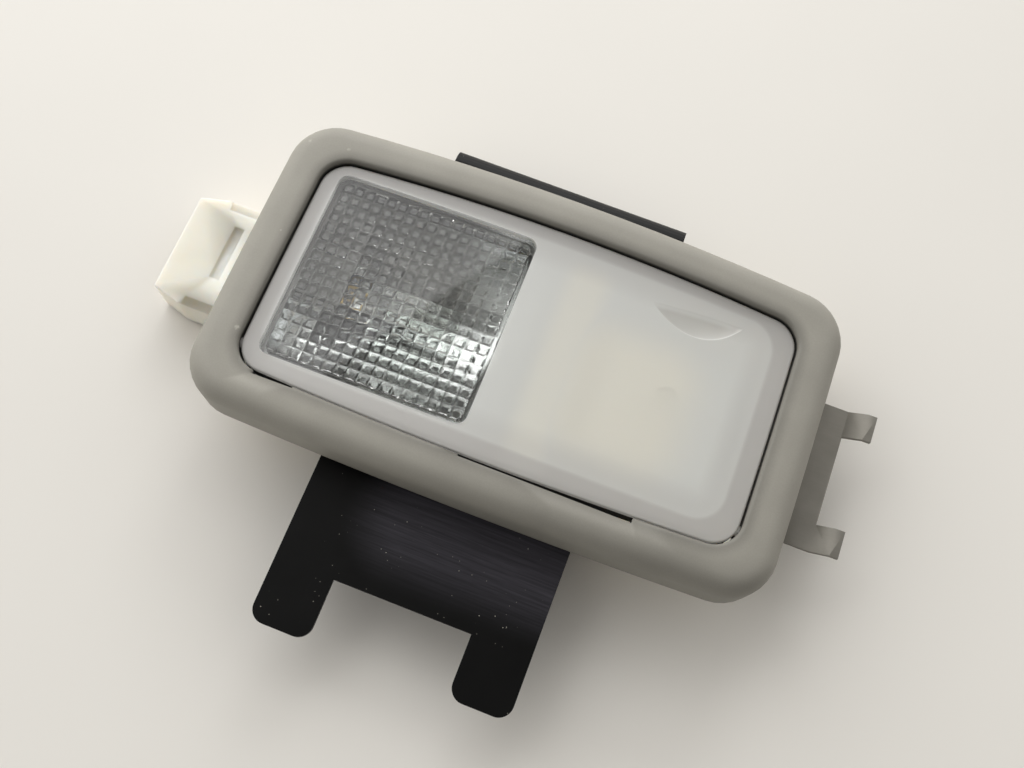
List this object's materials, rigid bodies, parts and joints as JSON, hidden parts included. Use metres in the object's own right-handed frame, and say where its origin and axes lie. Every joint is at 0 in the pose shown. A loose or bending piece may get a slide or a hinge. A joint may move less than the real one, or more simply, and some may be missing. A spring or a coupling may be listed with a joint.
{
  "type": "car dome light",
  "caption": "Oblong car roof lamp with a tipping lens that works its switch, a wedge bulb in a reflector, a plug socket, a steel bracket and a spring clip.",
  "frame": {"origin": "middle of the lamp's length and width, on the back face of the mounting bracket that it rests on", "axes": "+Z out of the lens, +X along the lamp from the plug socket to the spring clip, -Y towards the two bracket legs"},
  "size_m": [0.15, 0.1089, 0.0275],
  "materials": {
    "bezel_plastic": "fine moulded grain",
    "lens_plastic": "clear and frosted",
    "housing_plastic": "natural moulded",
    "reflector_metal": "metallised",
    "bulb_glass": "clear",
    "filament_wire": "drawn wire",
    "socket_plastic": "moulded",
    "contact_brass": "rolled strip",
    "switch_plastic": "moulded",
    "plunger_plastic": "moulded",
    "spring_steel": "drawn wire",
    "bracket_paint": "satin black paint",
    "clip_steel": "dull rolled strip",
    "screw_steel": "plated"
  },
  "bodies": {
    "lamp": {"bezel": "bezel_plastic", "housing": "housing_plastic", "reflector": "reflector_metal", "bulb_glass": "bulb_glass", "bulb_filament": "filament_wire", "bulb_socket": "socket_plastic", "terminal_battery": "contact_brass", "terminal_ground": "contact_brass", "terminal_door": "contact_brass", "bulb_contact_bar": "contact_brass", "switch_body": "switch_plastic", "switch_lid": "housing_plastic", "switch_spring": "spring_steel", "mounting_bracket": "bracket_paint", "bracket_screws": "screw_steel", "spring_clip": "clip_steel", "clip_rivets": "screw_steel", "bezel_screws": "screw_steel"},
    "lens": {"lens": "lens_plastic"},
    "plunger": {"switch_plunger": "plunger_plastic", "switch_bridge": "contact_brass"}
  },
  "joints": [
    {"name": "lens_tip", "type": "hinge", "parent": "lamp", "child": "lens", "pos_m": [0, -0.0195, 0.0226], "axis": [-1, 0, 0], "range_deg": [0, 3], "stiffness_Nm_per_rad": 0.5, "springref_deg": -2.86},
    {"name": "plunger_slide", "type": "slide", "parent": "lamp", "child": "plunger", "axis": [0, 0, -1], "range_m": [0, 0.00105], "stiffness_N_per_m": 40, "springref_m": -0.001, "deforming": ["switch_spring"]}
  ],
  "couplings": [
    {"joint": "lens_tip", "follows": "plunger_slide", "rad_per_m": 50}
  ]
}
